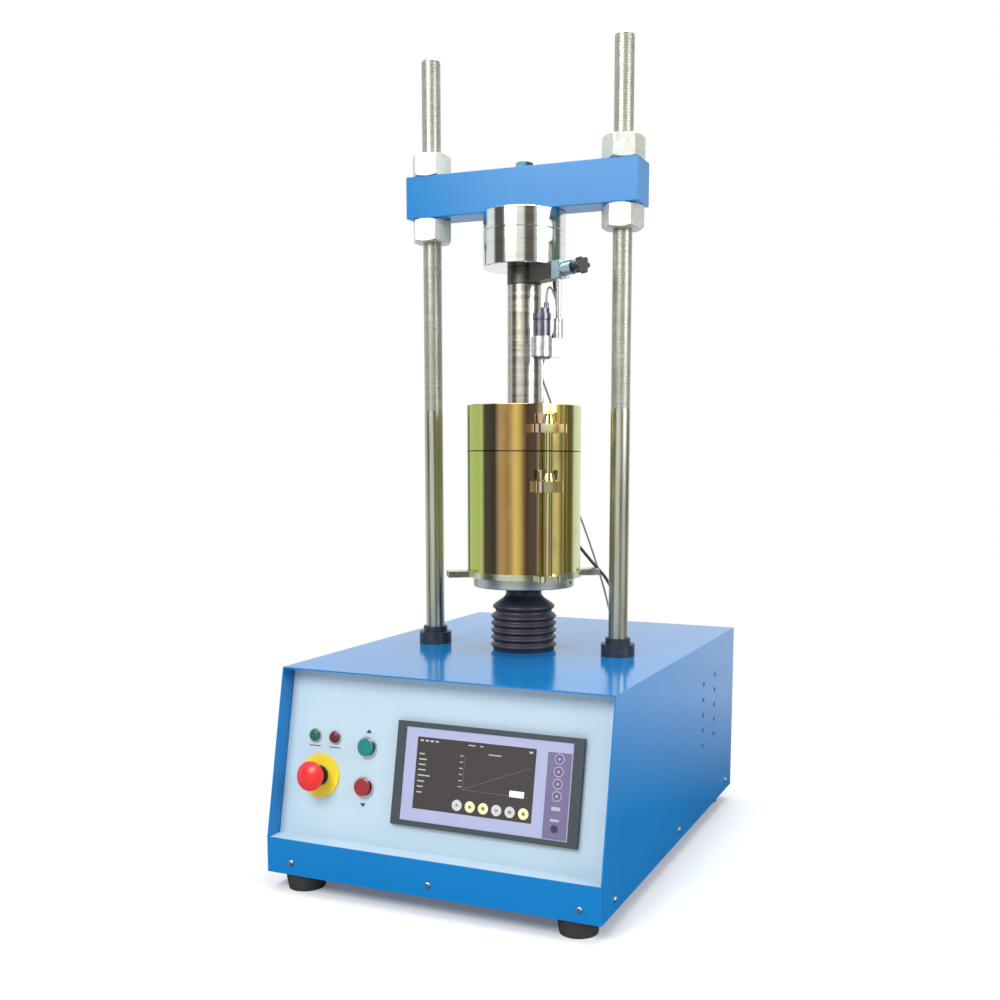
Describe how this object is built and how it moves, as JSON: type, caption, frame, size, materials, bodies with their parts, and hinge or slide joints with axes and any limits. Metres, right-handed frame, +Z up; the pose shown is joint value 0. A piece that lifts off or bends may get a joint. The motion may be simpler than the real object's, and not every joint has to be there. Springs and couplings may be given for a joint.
{
  "type": "california bearing ratio apparatus",
  "caption": "Motor-driven loading frame that raises a soil mould against a fixed penetration plunger, with load cell, displacement transducer and operator panel.",
  "frame": {"origin": "bottom centre of the bounding box, on the floor under the feet", "axes": "+X to the right seen from the operator panel, +Y to the back, +Z up along the columns"},
  "size_m": [0.4948, 0.6964, 1.179],
  "materials": {
    "blue_paint": "satin powder coat",
    "panel_paint": "satin light grey paint",
    "frame_paint": "grey primer",
    "black_coat": "black satin coat",
    "black_rubber": "matte",
    "screw_steel": "zinc plated",
    "column_steel": "ground and threaded",
    "nut_steel": "zinc plated",
    "cell_steel": "polished",
    "plunger_steel": "ground",
    "gold_zinc": "yellow zinc plated",
    "platen_steel": "turned",
    "ram_steel": "ground",
    "grey_iron": "painted casting",
    "pulley_alloy": "turned",
    "motor_paint": "black paint",
    "dark_plastic": "fine texture",
    "electronics_case": "matte",
    "lilac_film": "satin film",
    "screen_glass": "dark glass",
    "bezel_chrome": "polished",
    "green_lens": "clear moulding",
    "red_lens": "clear moulding",
    "green_plastic": "moulded",
    "red_plastic": "moulded",
    "yellow_plastic": "moulded",
    "stem_plastic": "moulded",
    "clamp_blue": "anodised",
    "anodised_grey": "anodised",
    "holder_alloy": "machined",
    "rod_steel": "polished",
    "cable_black": "matte",
    "cable_grey": "matte"
  },
  "bodies": {
    "frame": {"base_tray": "blue_paint", "hood": "blue_paint", "rear_panel": "blue_paint", "front_panel": "panel_paint", "rubber_feet": "black_rubber", "screws": "screw_steel", "lower_frame": "frame_paint", "lower_bridge": "frame_paint", "columns": "column_steel", "column_collars": "black_coat", "column_base_nuts": "screw_steel", "jack_housing": "grey_iron", "drive_motor": "motor_paint", "motor_bracket": "frame_paint", "timing_belt": "black_rubber", "drive_electronics": "electronics_case", "hmi_housing": "dark_plastic", "hmi_fascia": "lilac_film", "hmi_screen": "screen_glass", "control_bezels": "bezel_chrome", "green_lamp_lens": "green_lens", "red_lamp_lens": "red_lens", "contact_blocks": "stem_plastic", "estop_ring": "yellow_plastic", "cable_glands": "dark_plastic", "bellows": "black_rubber"},
    "crosshead": {"crosshead_beam": "blue_paint", "cell_bolt": "screw_steel", "load_cell_body": "cell_steel", "load_cell_cover": "cell_steel", "plunger_adapter": "black_coat", "penetration_plunger": "plunger_steel", "clamp_block": "clamp_blue", "transducer_rod": "rod_steel", "transducer_holder": "holder_alloy", "transducer_body": "anodised_grey", "load_cell_cable": "cable_black", "transducer_cable": "cable_grey"},
    "lift": {"platen": "platen_steel", "ram_screw": "ram_steel", "mould_base_plate": "gold_zinc", "mould_body": "gold_zinc", "mould_collar": "gold_zinc", "tie_rods": "gold_zinc"},
    "jack_nut": {"jack_pulley_nut": "pulley_alloy"},
    "motor_wheel": {"motor_pulley": "pulley_alloy"},
    "up_key": {"up_button": "green_plastic"},
    "down_key": {"down_button": "red_plastic"},
    "estop_plunger": {"estop_stem": "stem_plastic"},
    "estop_knob": {"estop_head": "red_plastic"},
    "star_knob": {"clamp_knob": "dark_plastic"},
    "spindle": {"transducer_spindle": "rod_steel"},
    "nut_upper_left": {"column_nut_upper_left": "nut_steel"},
    "nut_lower_left": {"column_nut_lower_left": "nut_steel"},
    "nut_upper_right": {"column_nut_upper_right": "nut_steel"},
    "nut_lower_right": {"column_nut_lower_right": "nut_steel"},
    "wing_front_upper": {"wing_nut_front_upper": "gold_zinc"},
    "wing_front_lower": {"wing_nut_front_lower": "gold_zinc"},
    "wing_rear_upper": {"wing_nut_rear_upper": "gold_zinc"},
    "wing_rear_lower": {"wing_nut_rear_lower": "gold_zinc"}
  },
  "joints": [
    {"name": "lift_slide", "type": "slide", "parent": "frame", "child": "lift", "axis": [0, 0, 1], "range_m": [-0.025, 0.025], "deforming": ["bellows"]},
    {"name": "jack_nut_turn", "type": "hinge", "parent": "frame", "child": "jack_nut", "pos_m": [0, -0.0258, 0.122], "axis": [0, 0, 1], "continuous": true},
    {"name": "motor_wheel_turn", "type": "hinge", "parent": "frame", "child": "motor_wheel", "pos_m": [0, 0.1242, 0.122], "axis": [0, 0, 1], "continuous": true},
    {"name": "crosshead_slide", "type": "slide", "parent": "frame", "child": "crosshead", "axis": [0, 0, 1], "range_m": [0, 0.12], "deforming": ["load_cell_cable", "transducer_cable"]},
    {"name": "spindle_slide", "type": "slide", "parent": "crosshead", "child": "spindle", "axis": [0, 0, 1], "range_m": [-0.025, 0.025]},
    {"name": "star_knob_turn", "type": "hinge", "parent": "crosshead", "child": "star_knob", "pos_m": [0.11657, -0.09584, 0.8577], "axis": [0.8572, -0.515, 0], "continuous": true},
    {"name": "up_button_press", "type": "slide", "parent": "frame", "child": "up_key", "axis": [0, -0.9806, 0.1961], "range_m": [-0.004, 0], "stiffness_N_per_m": 500, "springref_m": 0.001},
    {"name": "down_button_press", "type": "slide", "parent": "frame", "child": "down_key", "axis": [0, -0.9806, 0.1961], "range_m": [-0.004, 0], "stiffness_N_per_m": 500, "springref_m": 0.001},
    {"name": "estop_press", "type": "slide", "parent": "frame", "child": "estop_plunger", "axis": [0, -0.9806, 0.1961], "range_m": [-0.005, 0]},
    {"name": "estop_twist", "type": "hinge", "parent": "estop_plunger", "child": "estop_knob", "pos_m": [-0.1845, -0.3302, 0.16221], "axis": [0, -0.9806, 0.1961], "range_deg": [-45, 0], "stiffness_Nm_per_rad": 0.02},
    {"name": "nut_lower_left_turn", "type": "hinge", "parent": "crosshead", "child": "nut_lower_left", "pos_m": [-0.152, -0.0258, 0.931], "axis": [0, 0, 1], "continuous": true},
    {"name": "nut_upper_left_turn", "type": "hinge", "parent": "crosshead", "child": "nut_upper_left", "pos_m": [-0.152, -0.0258, 1.025], "axis": [0, 0, 1], "continuous": true},
    {"name": "nut_lower_right_turn", "type": "hinge", "parent": "crosshead", "child": "nut_lower_right", "pos_m": [0.152, -0.0258, 0.931], "axis": [0, 0, 1], "continuous": true},
    {"name": "nut_upper_right_turn", "type": "hinge", "parent": "crosshead", "child": "nut_upper_right", "pos_m": [0.152, -0.0258, 1.025], "axis": [0, 0, 1], "continuous": true},
    {"name": "wing_front_upper_turn", "type": "hinge", "parent": "lift", "child": "wing_front_upper", "pos_m": [0.07038, -0.09894, 0.648], "axis": [0, 0, 1], "continuous": true},
    {"name": "wing_front_lower_turn", "type": "hinge", "parent": "lift", "child": "wing_front_lower", "pos_m": [0.07038, -0.09894, 0.568], "axis": [0, 0, 1], "continuous": true},
    {"name": "wing_rear_upper_turn", "type": "hinge", "parent": "lift", "child": "wing_rear_upper", "pos_m": [-0.07038, 0.04734, 0.648], "axis": [0, 0, 1], "continuous": true},
    {"name": "wing_rear_lower_turn", "type": "hinge", "parent": "lift", "child": "wing_rear_lower", "pos_m": [-0.07038, 0.04734, 0.568], "axis": [0, 0, 1], "continuous": true}
  ],
  "couplings": [
    {"joint": "jack_nut_turn", "follows": "lift_slide", "rad_per_m": -1256.6},
    {"joint": "motor_wheel_turn", "follows": "lift_slide", "rad_per_m": -3630.3},
    {"joint": "spindle_slide", "follows": "lift_slide", "ratio": 1},
    {"joint": "nut_upper_left_turn", "follows": "crosshead_slide", "rad_per_m": 2094.4},
    {"joint": "nut_lower_left_turn", "follows": "crosshead_slide", "rad_per_m": 2094.4},
    {"joint": "nut_upper_right_turn", "follows": "crosshead_slide", "rad_per_m": 2094.4},
    {"joint": "nut_lower_right_turn", "follows": "crosshead_slide", "rad_per_m": 2094.4}
  ]
}
